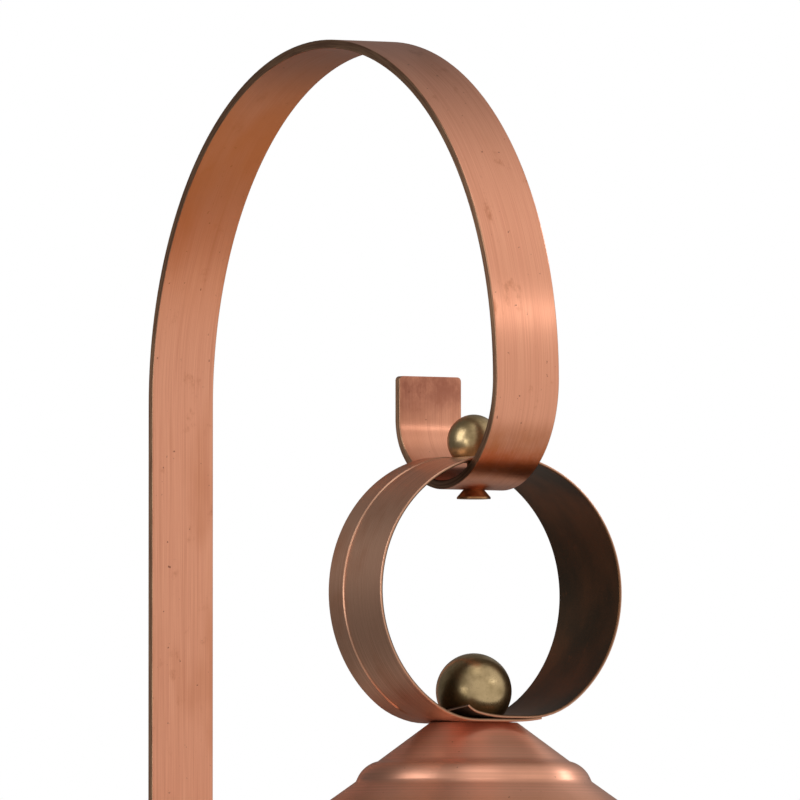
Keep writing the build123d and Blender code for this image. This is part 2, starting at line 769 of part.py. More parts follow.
finial_ball = ball_nut(
    pan_under_z, finial_ball_r, finial_ball_height, finial_screw_r, finial_thread_depth, -1
)
finial_ball.part.label = "finial_ball"
export_step(finial_ball.part, "parts/finial_ball.step")

centre_screw = domed_screw(
    pan_under_z + pan_thick,
    finial_screw_r,
    pan_thick + finial_thread_depth - thread_end_gap,
    finial_screw_head_r,
    finial_screw_head_height,
    -1,
)
with BuildPart(axis_floor) as finial_screw:
    add(centre_screw.part)
finial_screw.part.label = "finial_screw"
export_step(finial_screw.part, "parts/finial_screw.step")
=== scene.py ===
from math import atan2, cos, pi, radians, sin, sqrt, tan

import bmesh
import bpy
from bpy.props import FloatProperty, IntProperty, PointerProperty, StringProperty
from mathutils import Matrix, Vector


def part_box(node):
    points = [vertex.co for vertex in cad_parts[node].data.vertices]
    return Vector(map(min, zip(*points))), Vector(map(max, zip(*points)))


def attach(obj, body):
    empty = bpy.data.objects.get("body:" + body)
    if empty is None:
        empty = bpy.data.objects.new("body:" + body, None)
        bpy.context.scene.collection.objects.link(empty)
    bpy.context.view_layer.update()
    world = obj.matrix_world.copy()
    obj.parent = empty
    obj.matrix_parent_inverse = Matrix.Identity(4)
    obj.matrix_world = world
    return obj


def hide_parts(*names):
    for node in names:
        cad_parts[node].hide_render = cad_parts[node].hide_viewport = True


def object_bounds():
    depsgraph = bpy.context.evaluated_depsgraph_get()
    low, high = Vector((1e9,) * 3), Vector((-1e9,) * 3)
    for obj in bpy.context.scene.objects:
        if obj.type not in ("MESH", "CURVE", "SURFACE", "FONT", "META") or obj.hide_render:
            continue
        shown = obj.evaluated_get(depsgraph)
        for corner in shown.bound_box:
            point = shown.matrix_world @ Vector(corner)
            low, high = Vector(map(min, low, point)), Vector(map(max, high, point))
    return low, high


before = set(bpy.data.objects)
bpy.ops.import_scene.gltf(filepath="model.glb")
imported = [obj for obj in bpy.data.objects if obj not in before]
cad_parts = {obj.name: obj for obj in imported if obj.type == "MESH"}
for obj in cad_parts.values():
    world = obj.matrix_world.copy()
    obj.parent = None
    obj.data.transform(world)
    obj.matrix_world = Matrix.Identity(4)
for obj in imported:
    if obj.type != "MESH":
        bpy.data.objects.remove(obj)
CAD_BOX = [list(corner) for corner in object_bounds()]

bl_info = {
    "name": "Copper wind spinner",
    "version": (1, 0, 0),
    "blender": (4, 5, 0),
    "location": "3D View > Sidebar > Spinner",
    "description": "Builds a hanging copper wind spinner and its wall crook",
    "category": "Object",
}

MM = 0.001
CRISP_ANGLE = radians(35)
COUNTERSINK = radians(82)
CUT_SLACK = 0.1 * MM
MERGE_DISTANCE = 0.01 * MM
BAR_LAYERS = ("run", "side", "depth")
HOLE_SEGMENTS = 48
SPIN_SEGMENTS = 160
ROUND_STEPS = 3

# Steps along the crook's bar
FOOT_STEPS = 8
LEG_STEPS = 24
ARCH_STEPS = 96
HOOK_STEPS = 56
TAIL_BEND_STEPS = 16
TAIL_STEPS = 5

# Steps along the ring's band
TONGUE_STEPS = 6
FLAT_STEPS = 3
CORNER_STEPS = 6
SIDE_STEPS = 64
TOP_CORNER_STEPS = 5
TOP_FLAT_STEPS = 2
LAP_STEPS = 10

# Places that the CAD parts give
crook_low, crook_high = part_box("crook_strap")
ring_low, ring_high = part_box("hanging_ring")
ring_ball_low, ring_ball_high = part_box("ring_ball_nut")
hook_ball_low, hook_ball_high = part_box("hook_ball_nut")
finial_low, finial_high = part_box("finial_ball")
cap_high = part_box("rain_cap")[1]
rod_low, rod_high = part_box("axle_rod")

AXIS_Y = (rod_low.y + rod_high.y) / 2
APEX_Z = crook_high.z
BAR_WIDTH = crook_high.x - crook_low.x
ARCH_R = (crook_high.y - crook_low.y) / 2
HOOK_R = AXIS_Y - crook_low.y
SPRING_Z = APEX_Z - ARCH_R
RING_BAND = ring_high.y - ring_low.y


# ------------------------------------------------------------- sizes and colours


class SpinnerCrook(bpy.types.PropertyGroup):
    bar_thickness: FloatProperty(
        name="Bar thickness", description="Thickness of the flat bar",
        default=3.2 * MM, unit="LENGTH",
    )
    edge_round: FloatProperty(
        name="Edge rounding", description="Radius worn onto the bar's long edges",
        default=0.45 * MM, unit="LENGTH",
    )
    foot_corner: FloatProperty(
        name="Foot corner", description="Radius of the leg's two bottom corners",
        default=6 * MM, unit="LENGTH",
    )
    tail_corner: FloatProperty(
        name="Tail corner", description="Radius of the tail's two corners",
        default=1.5 * MM, unit="LENGTH",
    )
    hook_sweep: FloatProperty(
        name="Hook sweep", description="Turn of the hook's wide bend",
        default=radians(139), subtype="ANGLE",
    )
    tail_bend: FloatProperty(
        name="Tail bend", description="Outer radius of the bend into the tail",
        default=20 * MM, unit="LENGTH",
    )
    tail_length: FloatProperty(
        name="Tail length", description="Straight end of the hook",
        default=15 * MM, unit="LENGTH",
    )
    hole_pitch: FloatProperty(
        name="Screw pitch", description="Distance between the wall screws",
        default=130 * MM, unit="LENGTH",
    )
    hole_radius: FloatProperty(
        name="Screw hole", description="Radius of the wall-screw holes",
        default=2.75 * MM, unit="LENGTH",
    )
    head_radius: FloatProperty(
        name="Screw head", description="Radius of the countersinks",
        default=5.5 * MM, unit="LENGTH",
    )
    hook_hole_radius: FloatProperty(
        name="Hook screw hole", description="Radius of the hole in the hook",
        default=2.7 * MM, unit="LENGTH",
    )
    hook_head_radius: FloatProperty(
        name="Hook screw head", description="Radius of the hook's countersink",
        default=3.75 * MM, unit="LENGTH",
    )
    colour: StringProperty(
        name="Copper", description="Freshly brushed copper, sRGB hex", default="E6A688"
    )


class SpinnerRing(bpy.types.PropertyGroup):
    sheet: FloatProperty(
        name="Sheet", description="Thickness of the band", default=1.1 * MM, unit="LENGTH"
    )
    top_flat: FloatProperty(
        name="Top flat", description="Half length of the flat under the hook's nut",
        default=8 * MM, unit="LENGTH",
    )
    top_corner: FloatProperty(
        name="Top corner", description="Bend between the ring and its flat top",
        default=14 * MM, unit="LENGTH",
    )
    foot_corner: FloatProperty(
        name="Foot corner", description="Bend between the ring and its flat foot",
        default=30 * MM, unit="LENGTH",
    )
    top_hole: FloatProperty(
        name="Top hole", description="Radius of the screw hole", default=2.7 * MM, unit="LENGTH"
    )
    foot_hole: FloatProperty(
        name="Foot hole", description="Radius of the axle hole", default=4.2 * MM, unit="LENGTH"
    )
    hole_depth: FloatProperty(
        name="Hole depth", description="Depth that both holes are cut through",
        default=8.8 * MM, unit="LENGTH",
    )
    tongue_reach: FloatProperty(
        name="Tongue reach", description="How far the under lap runs past the axis",
        default=16 * MM, unit="LENGTH",
    )
    tongue_flat: FloatProperty(
        name="Tongue flat", description="How much of the tongue lies flat", default=5 * MM,
        unit="LENGTH",
    )
    tongue_lift: FloatProperty(
        name="Tongue lift", description="How far the tongue springs up", default=1.0 * MM,
        unit="LENGTH",
    )
    lap_reach: FloatProperty(
        name="Lap reach", description="How far the upper lap lies flat past the axis",
        default=9 * MM, unit="LENGTH",
    )
    lap_gap: FloatProperty(
        name="Lap gap", description="Gap between the lapped ends", default=0.1 * MM, unit="LENGTH"
    )
    lip_reach: FloatProperty(
        name="Lip reach", description="Length of the upper lap's turned end",
        default=4.2 * MM, unit="LENGTH",
    )
    lip_lift: FloatProperty(
        name="Lip lift", description="How far the upper lap's end turns up",
        default=1.2 * MM, unit="LENGTH",
    )
    spring_start: FloatProperty(
        name="Spring start", description="Where the front of the lap leaves the tongue",
        default=3 * MM, unit="LENGTH",
    )
    spring_lift: FloatProperty(
        name="Spring lift", description="How far the front of the lap springs up",
        default=1.5 * MM, unit="LENGTH",
    )
    hem_step: FloatProperty(
        name="Hem step", description="How far the hem stands out", default=0.4 * MM, unit="LENGTH"
    )
    hem_width: FloatProperty(
        name="Hem width", description="Width of the folded hem", default=11.5 * MM, unit="LENGTH"
    )
    hem_end: FloatProperty(
        name="Hem end", description="Where the hem starts to fade, from the ring's foot",
        default=radians(34), subtype="ANGLE",
    )
    hem_fade: FloatProperty(
        name="Hem fade", description="Turn over which the hem fades", default=radians(10),
        subtype="ANGLE",
    )
    rim_round: FloatProperty(
        name="Rim round", description="Rounding of the band's rims", default=0.462 * MM,
        unit="LENGTH",
    )
    spring_share: FloatProperty(
        name="Spring share", description="Share of the band's front half that springs up",
        default=0.55, min=0.01, max=1.0,
    )
    flare: FloatProperty(
        name="Flare", description="How much wider the front rim is than the back one",
        default=0.018, min=0.0,
    )
    colour: StringProperty(
        name="Copper", description="Copper of the band, sRGB hex", default="DEAE92"
    )


class SpinnerSheet(bpy.types.PropertyGroup):
    sheet: FloatProperty(
        name="Sheet", description="Thickness of the spun sheet", default=1.0 * MM, unit="LENGTH"
    )
    crown_radius: FloatProperty(
        name="Crown", description="Radius of the cap's flat crown", default=15.3 * MM,
        unit="LENGTH",
    )
    cap_slope: FloatProperty(
        name="Cap slope", description="Fall of the cap above its bead", default=radians(36.5),
        subtype="ANGLE",
    )
    bead_start: FloatProperty(
        name="Bead start", description="Radius where the cap's bead starts", default=33.7 * MM,
        unit="LENGTH",
    )
    bead_radius: FloatProperty(
        name="Bead", description="Radius of the bead's round", default=9.7 * MM, unit="LENGTH"
    )
    bead_flat: FloatProperty(
        name="Bead top", description="Fall at the bead's top", default=radians(12),
        subtype="ANGLE",
    )
    bead_steep: FloatProperty(
        name="Bead side", description="Fall at the bead's side", default=radians(65),
        subtype="ANGLE",
    )
    bead_drop: FloatProperty(
        name="Bead drop", description="Depth of the step under the bead", default=1.6 * MM,
        unit="LENGTH",
    )
    skirt_slope: FloatProperty(
        name="Skirt slope", description="Fall of the cap below its bead", default=radians(35.5),
        subtype="ANGLE",
    )
    eave_radius: FloatProperty(
        name="Eave", description="Radius where the rim's roll starts", default=83 * MM,
        unit="LENGTH",
    )
    roll_radius: FloatProperty(
        name="Rim roll", description="Radius of the rolled rim", default=2 * MM, unit="LENGTH"
    )
    roll_turn: FloatProperty(
        name="Rim turn", description="How far the rim is rolled round", default=radians(250),
        subtype="ANGLE",
    )
    hole_radius: FloatProperty(
        name="Crown hole", description="Radius of the axle hole", default=4.2 * MM,
        unit="LENGTH",
    )
    line_spacing: FloatProperty(
        name="Spin lines", description="Spacing of the spinning marks", default=0.9 * MM,
        unit="LENGTH",
    )
    colour: StringProperty(
        name="Copper", description="Spun copper, sRGB hex", default="E6A68C"
    )


class SpinnerBrass(bpy.types.PropertyGroup):
    segments: IntProperty(
        name="Segments", description="Facets round each ball", default=72, min=24
    )
    edge_round: FloatProperty(
        name="Edge rounding", description="Rounding of the flat seat's edge",
        default=0.35 * MM, unit="LENGTH",
    )
    colour: StringProperty(
        name="Brass", description="Antiqued brass, sRGB hex", default="BFA880"
    )


class SpinnerStage(bpy.types.PropertyGroup):
    distance: FloatProperty(
        name="Camera distance", description="From the camera to the spinner's axis",
        default=6.0, unit="LENGTH",
    )
    tilt: FloatProperty(
        name="Tilt", description="How far the camera looks up", default=radians(2.5),
        subtype="ANGLE",
    )
    aim_lift: FloatProperty(
        name="Aim height", description="Height of the aim above the ring's middle",
        default=0.0669, unit="LENGTH",
    )
    aim_left: FloatProperty(
        name="Aim left", description="How far the aim lies left of the spinner's axis",
        default=0.026, unit="LENGTH",
    )
    azimuth: FloatProperty(
        name="Azimuth", description="Camera's turn about the spinner", default=radians(-30),
        subtype="ANGLE",
    )
    field: FloatProperty(
        name="Field", description="Width of the view at the spinner's axis", default=0.282,
        unit="LENGTH",
    )
    floor_radius: FloatProperty(
        name="Floor radius", description="Radius of the floor", default=0.8, unit="LENGTH"
    )
    floor_drop: FloatProperty(
        name="Floor drop", description="From the spinner's lowest point to the floor",
        default=0.25, unit="LENGTH",
    )
    light_height: FloatProperty(
        name="Light aim", description="How far below the arch's top the lights aim",
        default=0.15, unit="LENGTH",
    )


# ------------------------------------------------------------------- small tools


def linear(hex_colour):
    """An sRGB hex colour as linear RGBA."""
    channels = [int(hex_colour[i:i + 2], 16) / 255 for i in (0, 2, 4)]
    curve = [c / 12.92 if c <= 0.04045 else ((c + 0.055) / 1.055) ** 2.4 for c in channels]
    return (*curve, 1.0)


def plug(tree, node, sockets):
    """Sets a node's inputs, by name or number, or links nodes or their outputs to them."""
    for key, value in sockets.items():
        if isinstance(value, bpy.types.Node):
            value = next(output for output in value.outputs if output.enabled)
        if isinstance(value, bpy.types.NodeSocket):
            tree.links.new(value, node.inputs[key])
        else:
            node.inputs[key].default_value = value


def add(tree, kind, sockets=None, **settings):
    """Adds a node with its settings, and plugs its sockets."""
    node = tree.nodes.new("ShaderNode" + kind)
    for name, value in settings.items():
        setattr(node, name, value)
    plug(tree, node, sockets or {})
    return node


def pattern(tree, coords, lengths, detail, roughness):
    """A cloudy value, mostly 0.3 to 0.7, in cells of these lengths in mm on each axis."""
    scale = [1 / (length * MM) for length in lengths]
    scaled = add(tree, "Mapping", {"Vector": coords, "Scale": scale})
    sockets = {"Vector": scaled, "Scale": 1.0, "Detail": detail, "Roughness": roughness}
    return add(tree, "TexNoise", sockets, normalize=True)


def eased(tree, *ramps):
    """The product of ramps, each a value, its low and high, and what it becomes there."""
    total = 1.0
    for ramp in ramps:
        sockets = dict(enumerate(ramp))
        held = add(tree, "MapRange", sockets, interpolation_type="SMOOTHSTEP")
        total = add(tree, "Math", {0: total, 1: held}, operation="MULTIPLY")
    return total


def tint(tree, base, colour, *ramps):
    """Lays a colour over a base, as strongly as its ramps say; each is hex or a node."""
    under, over = (linear(c) if isinstance(c, str) else c for c in (base, colour))
    sockets = {0: eased(tree, *ramps), 6: under, 7: over}
    return add(tree, "Mix", sockets, data_type="RGBA")


def bar_places(tree):
    """Where a point lies along, across and through a bent bar, and all three as a vector."""
    places = [add(tree, "Attribute", attribute_name=name).outputs["Fac"] for name in BAR_LAYERS]
    return *places, add(tree, "CombineXYZ", dict(enumerate(places)))


def new_material(name):
    """An empty material with a Principled shader; returns material, tree and shader."""
    material = bpy.data.materials.new(name)
    material.use_nodes = True
    tree = material.node_tree
    return material, tree, tree.nodes["Principled BSDF"]


def shade(mesh):
    """Smooth shading, kept crisp at the corners."""
    mesh.shade_smooth()
    mesh.set_sharp_from_angle(angle=CRISP_ANGLE)


def even_normals(piece):
    """Lets the large faces set the shading, so that flat metal looks flat."""
    weighted = piece.modifiers.new("weighted", "WEIGHTED_NORMAL")
    weighted.keep_sharp = True


def finish_piece(name, bm, material, body, nodes):
    """Makes a piece from a bmesh, shades it and hangs it on its body."""
    mesh = bpy.data.meshes.new(name)
    bm.to_mesh(mesh)
    bm.free()
    mesh.materials.append(material)
    shade(mesh)
    piece = bpy.data.objects.new(name, mesh)
    bpy.context.scene.collection.objects.link(piece)
    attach(piece, body)
    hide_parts(*nodes)
    return piece


def paint(nodes, material):
    """Gives CAD nodes one material."""
    for name in nodes:
        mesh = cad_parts[name].data
        mesh.materials.clear()
        mesh.materials.append(material)


# --------------------------------------------------------------------- materials


def brushed_copper(name, colour, apex_run, hook_run, end_run):
    """Flat copper bar, abraded lengthwise and lacquered.

    Fine hairlines run along the bar and fan its highlights out across it. The rolled
    edges are duller and browner, handling has left faint stains, and the hook's bend
    keeps the warm tint of the torch.
    """
    material, tree, shader = new_material(name)
    run, side, _, flat = bar_places(tree)
    # Hairlines 0.25 mm apart and about 40 mm long, drawn coarse enough to show
    hair = pattern(tree, flat, (40, 0.25, 111), 4.0, 0.6)
    streak = pattern(tree, flat, (111, 1.43, 111), 3.0, 0.55)
    patch = pattern(tree, flat, (71.4, 25, 333), 3.0, 0.5)
    stain = pattern(tree, flat, (16.67, 11.11, 200), 5.0, 0.65)
    speck = pattern(tree, flat, (2.381, 2.381, 111), 2.0, 0.5)
    base = tint(tree, colour, "D69378", (hair, 0.30, 0.72))
    base = tint(tree, base, "C68468", (streak, 0.48, 0.75, 0.0, 0.45))
    base = tint(tree, base, "B9734E", (patch, 0.50, 0.78, 0.0, 0.55))
    base = tint(tree, base, "A05C36", (stain, 0.58, 0.74, 0.0, 0.6))
    base = tint(tree, base, "6A4030", (speck, 0.70, 0.76, 0.0, 0.75))
    # The rising half of the arch is browner: painted shade on the inner face of its bend
    base = tint(
        tree, base, "D07C48",
        (run, apex_run - 190 * MM, apex_run - 100 * MM),
        (run, apex_run - 10 * MM, apex_run + 25 * MM, 1.0, 0.0),
        (patch, 0.3, 0.7, 0.55, 0.9),
    )
    # The torch's tint, on the bend where the arch turns into the hook
    base = tint(
        tree, base, "CB7A4A",
        (run, hook_run + 12 * MM, hook_run + 28 * MM),
        (run, hook_run + 34 * MM, hook_run + 48 * MM, 1.0, 0.0),
        (stain, 0.3, 0.6, 0.25, 0.9),
    )
    # The tail's end is handled most: browner, scratched and pitted
    worn = (run, end_run - 22 * MM, end_run - 2 * MM), (stain, 0.35, 0.62, 0.25, 1.0)
    base = tint(tree, base, "A86C58", *worn)
    # The rolled edges
    half = BAR_WIDTH / 2
    off_middle = add(tree, "Math", {0: side}, operation="ABSOLUTE")
    edge = (off_middle, half - 0.35 * MM, half - 0.1 * MM)
    edge_colour = tint(tree, "A98468", "8A6650", (stain, 0.4, 0.6))
    base = tint(tree, base, edge_colour, edge)
    rough = add(tree, "Math", {
        0: eased(tree, (hair, 0.2, 0.8, 0.28, 0.40)), 1: eased(tree, (*edge, 0.0, 0.45)),
    }, operation="MAXIMUM")
    grain = add(tree, "Bump", {"Strength": 0.25, "Distance": 0.06 * MM, "Height": hair})
    pits = add(tree, "Bump", {
        "Strength": eased(tree, *worn), "Distance": 0.35 * MM, "Height": stain, "Normal": grain,
    })
    plug(tree, shader, {
        "Base Color": base, "Metallic": 1.0, "Roughness": rough, "Normal": pits,
        "Tangent": add(tree, "Tangent", direction_type="UV_MAP"),
        "Anisotropic": 0.6, "Anisotropic Rotation": 0.25,
    })
    return material


def band_copper(name, colour):
    """Copper sheet rolled into a ring, brushed outside; its inner face is painted dark brown as
    painted shade, with stains.
    """
    material, tree, shader = new_material(name)
    _, _, depth, flat = bar_places(tree)
    hair = pattern(tree, flat, (40, 0.2857, 1.111), 4.0, 0.6)
    patch = pattern(tree, flat, (45.5, 28.6, 200), 4.0, 0.55)
    stain = pattern(tree, flat, (8.333, 6.667, 20), 5.0, 0.65)
    outside = tint(tree, colour, "BC9078", (hair, 0.3, 0.7))
    outside = tint(tree, outside, "A9633A", (patch, 0.48, 0.72, 0.0, 0.5))
    # The inner face: dark brown painted shade, with stains over it
    inner_shade_and_stain = tint(tree, "6E4C35", "483C2F", (patch, 0.35, 0.65))
    inner_shade_and_stain = tint(tree, inner_shade_and_stain, "84553A", (stain, 0.60, 0.74, 0.0, 0.4))
    plug(tree, shader, {
        "Base Color": tint(tree, inner_shade_and_stain, outside, (depth, 0.2, 0.8)),
        "Metallic": 1.0,
        "Roughness": eased(tree, (hair, 0.2, 0.8, 0.34, 0.46)),
        "Normal": add(tree, "Bump", {"Strength": 0.25, "Distance": 0.06 * MM, "Height": hair}),
        "Tangent": add(tree, "Tangent", direction_type="UV_MAP"),
        "Anisotropic": 0.5, "Anisotropic Rotation": 0.25,
    })
    return material


def spun_copper(name, colour, line_spacing, mapped):
    """Copper sheet spun on a lathe: rings of fine tool marks that fan out its highlights.

    A mapped piece carries its distance along the outline; on others the marks follow
    the distance from the axis less the height.
    """
    material, tree, shader = new_material(name)
    coords = add(tree, "TexCoord").outputs["Object"]
    centred = add(tree, "Mapping", {"Vector": coords, "Location": (0, -AXIS_Y, 0)})
    if mapped:
        outline = add(tree, "Attribute", attribute_name="along").outputs["Fac"]
    else:
        x, y, height = add(tree, "SeparateXYZ", {0: centred}).outputs
        plan = add(tree, "CombineXYZ", {0: x, 1: y})
        radius = add(tree, "VectorMath", {0: plan}, operation="LENGTH")
        outline = add(tree, "Math", {0: radius, 1: height}, operation="SUBTRACT")
    # The marks wander by up to 1.5 mm round the piece
    wander = pattern(tree, centred, (111, 111, 111), 2.0, 0.5)
    marks = add(tree, "Math", {0: wander, 1: 1.5 * MM, 2: outline}, operation="MULTIPLY_ADD")
    marks = add(tree, "CombineXYZ", {0: marks})
    spacing = line_spacing / MM
    lines = pattern(tree, marks, (spacing, spacing, spacing), 4.0, 0.7)
    bands = pattern(tree, marks, (6.667, 6.667, 6.667), 2.0, 0.5)
    patch = pattern(tree, centred, (35.7, 35.7, 35.7), 4.0, 0.55)
    speck = pattern(tree, centred, (2.632, 2.632, 2.632), 2.0, 0.5)
    base = tint(tree, colour, "D09A80", (lines, 0.32, 0.7))
    base = tint(tree, base, "C98A68", (bands, 0.45, 0.7, 0.0, 0.35))
    base = tint(tree, base, "B98468", (patch, 0.5, 0.75, 0.0, 0.40))
    base = tint(tree, base, "6B4230", (speck, 0.72, 0.78, 0.0, 0.7))
    plug(tree, shader, {
        "Base Color": base,
        "Metallic": 1.0,
        "Roughness": eased(tree, (lines, 0.2, 0.8, 0.36, 0.46)),
        "Normal": add(tree, "Bump", {"Strength": 0.25, "Distance": 0.07 * MM, "Height": lines}),
    })
    if mapped:
        plug(tree, shader, {
            "Tangent": add(tree, "Tangent", direction_type="UV_MAP"),
            "Anisotropic": 0.6, "Anisotropic Rotation": 0.25,
        })
    return material


def blade_copper(name, colour):
    """Rolled copper sheet, its grain running up each blade."""
    material, tree, shader = new_material(name)
    coords = add(tree, "TexCoord").outputs["Object"]
    hair = pattern(tree, coords, (0.4, 0.4, 33.33), 4.0, 0.6)
    patch = pattern(tree, coords, (45.5, 45.5, 45.5), 4.0, 0.55)
    stain = pattern(tree, coords, (33.3, 33.3, 125), 3.0, 0.5)
    base = tint(tree, colour, "BE7A5A", (hair, 0.3, 0.7))
    base = tint(tree, base, "A8623F", (patch, 0.45, 0.72, 0.0, 0.5))
    base = tint(tree, base, "8E5742", (stain, 0.55, 0.75, 0.0, 0.5))
    plug(tree, shader, {
        "Base Color": base,
        "Metallic": 1.0,
        "Roughness": eased(tree, (hair, 0.2, 0.8, 0.28, 0.42)),
        "Normal": add(tree, "Bump", {"Strength": 0.2, "Distance": 0.06 * MM, "Height": hair}),
    })
    return material


def antique_brass(name, colour):
    """Polished brass, darkened with a liver patina and rubbed back: mottled and satin."""
    material, tree, shader = new_material(name)
    coords = add(tree, "TexCoord").outputs["Object"]
    cloud = pattern(tree, coords, (7.69, 7.69, 7.69), 4.0, 0.6)
    fine = pattern(tree, coords, (1.111, 1.111, 1.111), 4.0, 0.6)
    scratch = pattern(tree, coords, (3.333, 3.333, 0.3333), 3.0, 0.5)
    base = tint(tree, colour, "94805C", (cloud, 0.35, 0.70))
    base = tint(tree, base, "6F6044", (fine, 0.55, 0.8, 0.0, 0.4))
    base = tint(tree, base, "D2BE92", (scratch, 0.62, 0.78, 0.0, 0.35))
    plug(tree, shader, {
        "Base Color": base,
        "Metallic": 1.0,
        "Roughness": eased(tree, (cloud, 0.3, 0.7, 0.27, 0.36)),
        "Normal": add(tree, "Bump", {"Strength": 0.15, "Distance": 0.05 * MM, "Height": fine}),
    })
    return material


def plain_metal(name, colour, dull, smooth, rough, spacing):
    """A machined or plated metal: cloudy colour, and tool marks at a spacing in mm."""
    material, tree, shader = new_material(name)
    coords = add(tree, "TexCoord").outputs["Object"]
    cloud = pattern(tree, coords, (6.25, 6.25, 6.25), 3.0, 0.55)
    marks = pattern(tree, coords, (8 * spacing, 8 * spacing, spacing), 3.0, 0.6)
    plug(tree, shader, {
        "Base Color": tint(tree, colour, dull, (cloud, 0.35, 0.7)),
        "Metallic": 1.0,
        "Roughness": eased(tree, (marks, 0.25, 0.75, smooth, rough)),
        "Normal": add(tree, "Bump", {"Strength": 0.15, "Distance": 0.04 * MM, "Height": marks}),
    })
    return material


def natural_nylon(name):
    """Moulded natural nylon: ivory, slightly waxy, with a fine moulded grain."""
    material, tree, shader = new_material(name)
    coords = add(tree, "TexCoord").outputs["Object"]
    grain = pattern(tree, coords, (0.667, 0.667, 0.667), 2.0, 0.5)
    plug(tree, shader, {
        "Base Color": tint(tree, "D8D0B8", "C7BD9F", (grain, 0.3, 0.7)),
        "Roughness": 0.45,
        "IOR": 1.53,
        "Normal": add(tree, "Bump", {"Strength": 0.2, "Distance": 0.03 * MM, "Height": grain}),
    })
    return material


# ----------------------------------------------------------------- bending a bar


def split_geometry(made):
    """The vertices and faces in an operator's result."""
    verts = [item for item in made["geom"] if isinstance(item, bmesh.types.BMVert)]
    faces = [item for item in made["geom"] if isinstance(item, bmesh.types.BMFace)]
    return verts, faces


class Bender:
    """Runs a section along straight lengths and bends, as on a bending table.

    It keeps every ring of vertices' distance along the bar in the layer "run". The line
    that bends follow is the path given at the start, not the section's middle.
    """

    def __init__(self, bm, faces, start, heading, turn_axis):
        self.bm = bm
        self.ends = faces
        self.centre = start
        self.heading = heading
        self.turn_axis = turn_axis
        self.travelled = 0.0
        self.run = bm.verts.layers.float["run"]

    def extrude(self):
        """Extrudes the end, and removes the old one unless it closes the bar's start."""
        passed = self.ends if self.travelled > 0 else []
        verts, self.ends = split_geometry(bmesh.ops.extrude_face_region(self.bm, geom=self.ends))
        bmesh.ops.delete(self.bm, geom=passed, context="FACES")
        return verts

    def mark(self, verts):
        """Writes the distance travelled into a ring of vertices."""
        for vert in verts:
            vert[self.run] = self.travelled

    def straight(self, length, steps):
        """Runs on along the heading."""
        for _ in range(steps):
            verts = self.extrude()
            move = self.heading * (length / steps)
            bmesh.ops.translate(self.bm, verts=verts, vec=move)
            self.centre = self.centre + move
            self.travelled += length / steps
            self.mark(verts)

    def bend(self, radius, angle, steps):
        """Turns by an angle about the turn axis; a negative angle turns the other way."""
        way = 1 if angle > 0 else -1
        turn = Matrix.Rotation(angle / steps, 3, self.turn_axis)
        for _ in range(steps):
            pivot = self.centre + self.turn_axis.cross(self.heading) * (radius * way)
            verts = self.extrude()
            bmesh.ops.rotate(self.bm, verts=verts, cent=pivot, matrix=turn)
            self.centre = pivot + turn @ (self.centre - pivot)
            self.heading = turn @ self.heading
            self.travelled += radius * abs(angle) / steps
            self.mark(verts)

    def corner(self, width, radius, steps, closing):
        """Rounds a bar's corners in plan, by scaling across the bar along X."""
        half = width / 2
        for step in range(steps):
            turns = [(step + more) / steps * pi / 2 for more in (0, 1)]
            if not closing:
                turns = [pi / 2 - turn for turn in turns]
            before, after = (half - radius * (1 - cos(turn)) for turn in turns)
            self.straight(radius * abs(sin(turns[1]) - sin(turns[0])), 1)
            verts = list({vert for face in self.ends for vert in face.verts})
            bmesh.ops.scale(self.bm, verts=verts, vec=(after / before, 1, 1))


def corner_bend(radius, height, corner_r):
    """A flat on a ring, at a height from its centre: its half length and its corners' turn."""
    half = sqrt((radius - height) * (radius + height - 2 * corner_r))
    return half, atan2(half, height - corner_r)


def map_bar(bm):
    """Lays a UV map along a bar, from its run and side layers."""
    run = bm.verts.layers.float["run"]
    side = bm.verts.layers.float["side"]
    uv = bm.loops.layers.uv.new("UVMap")
    for face in bm.faces:
        for loop in face.loops:
            loop[uv].uv = (loop.vert[run], loop.vert[side])


def add_layers(bm):
    """Adds the layers that a bar's material reads."""
    for name in BAR_LAYERS:
        bm.verts.layers.float.new(name)


def cut(piece, cutter):
    """Cuts a closed shape out of a finished piece's mesh."""
    mesh = bpy.data.meshes.new("cutter")
    cutter.to_mesh(mesh)
    cutter.free()
    tool = bpy.data.objects.new("cutter", mesh)
    bpy.context.scene.collection.objects.link(tool)
    modifier = piece.modifiers.new("holes", "BOOLEAN")
    modifier.operation = "DIFFERENCE"
    modifier.solver = "EXACT"
    modifier.object = tool
    bpy.context.view_layer.update()
    depsgraph = bpy.context.evaluated_depsgraph_get()
    holed = bpy.data.meshes.new_from_object(piece.evaluated_get(depsgraph))
    piece.modifiers.clear()
    piece.data = holed
    bpy.data.objects.remove(tool)
    shade(holed)
    even_normals(piece)


def drill(cutter, centre, into, head_r, hole_r, depth):
    """Adds a countersunk hole to a cutter: a cone that opens at the centre, then a bore."""
    sink = (head_r - hole_r) / tan(COUNTERSINK / 2)
    turn = Vector((0, 0, 1)).rotation_difference(into).to_matrix().to_4x4()
    slack_r = CUT_SLACK * tan(COUNTERSINK / 2)
    for low_r, high_r, low, high in (
        (head_r + slack_r, hole_r, -CUT_SLACK, sink),
        (hole_r, hole_r, sink - CUT_SLACK, depth),
    ):
        move = Matrix.Translation(centre + into * ((low + high) / 2))
        bmesh.ops.create_cone(
            cutter, cap_ends=True, segments=HOLE_SEGMENTS, radius1=low_r, radius2=high_r,
            depth=high - low, matrix=move @ turn,
        )


# ------------------------------------------------------------------ spun pieces


def arc_points(centre, radius, start, turn, steps):
    """Points (radius, height) along an arc, from a start angle through a turn."""
    angles = [start + turn * step / steps for step in range(steps + 1)]
    return [(centre[0] + radius * cos(a), centre[1] + radius * sin(a)) for a in angles]


def line_points(start, end, steps):
    """Evenly spaced points on a line, without its end."""
    shares = [step / steps for step in range(steps)]
    return [tuple(a + (b - a) * share for a, b in zip(start, end)) for share in shares]


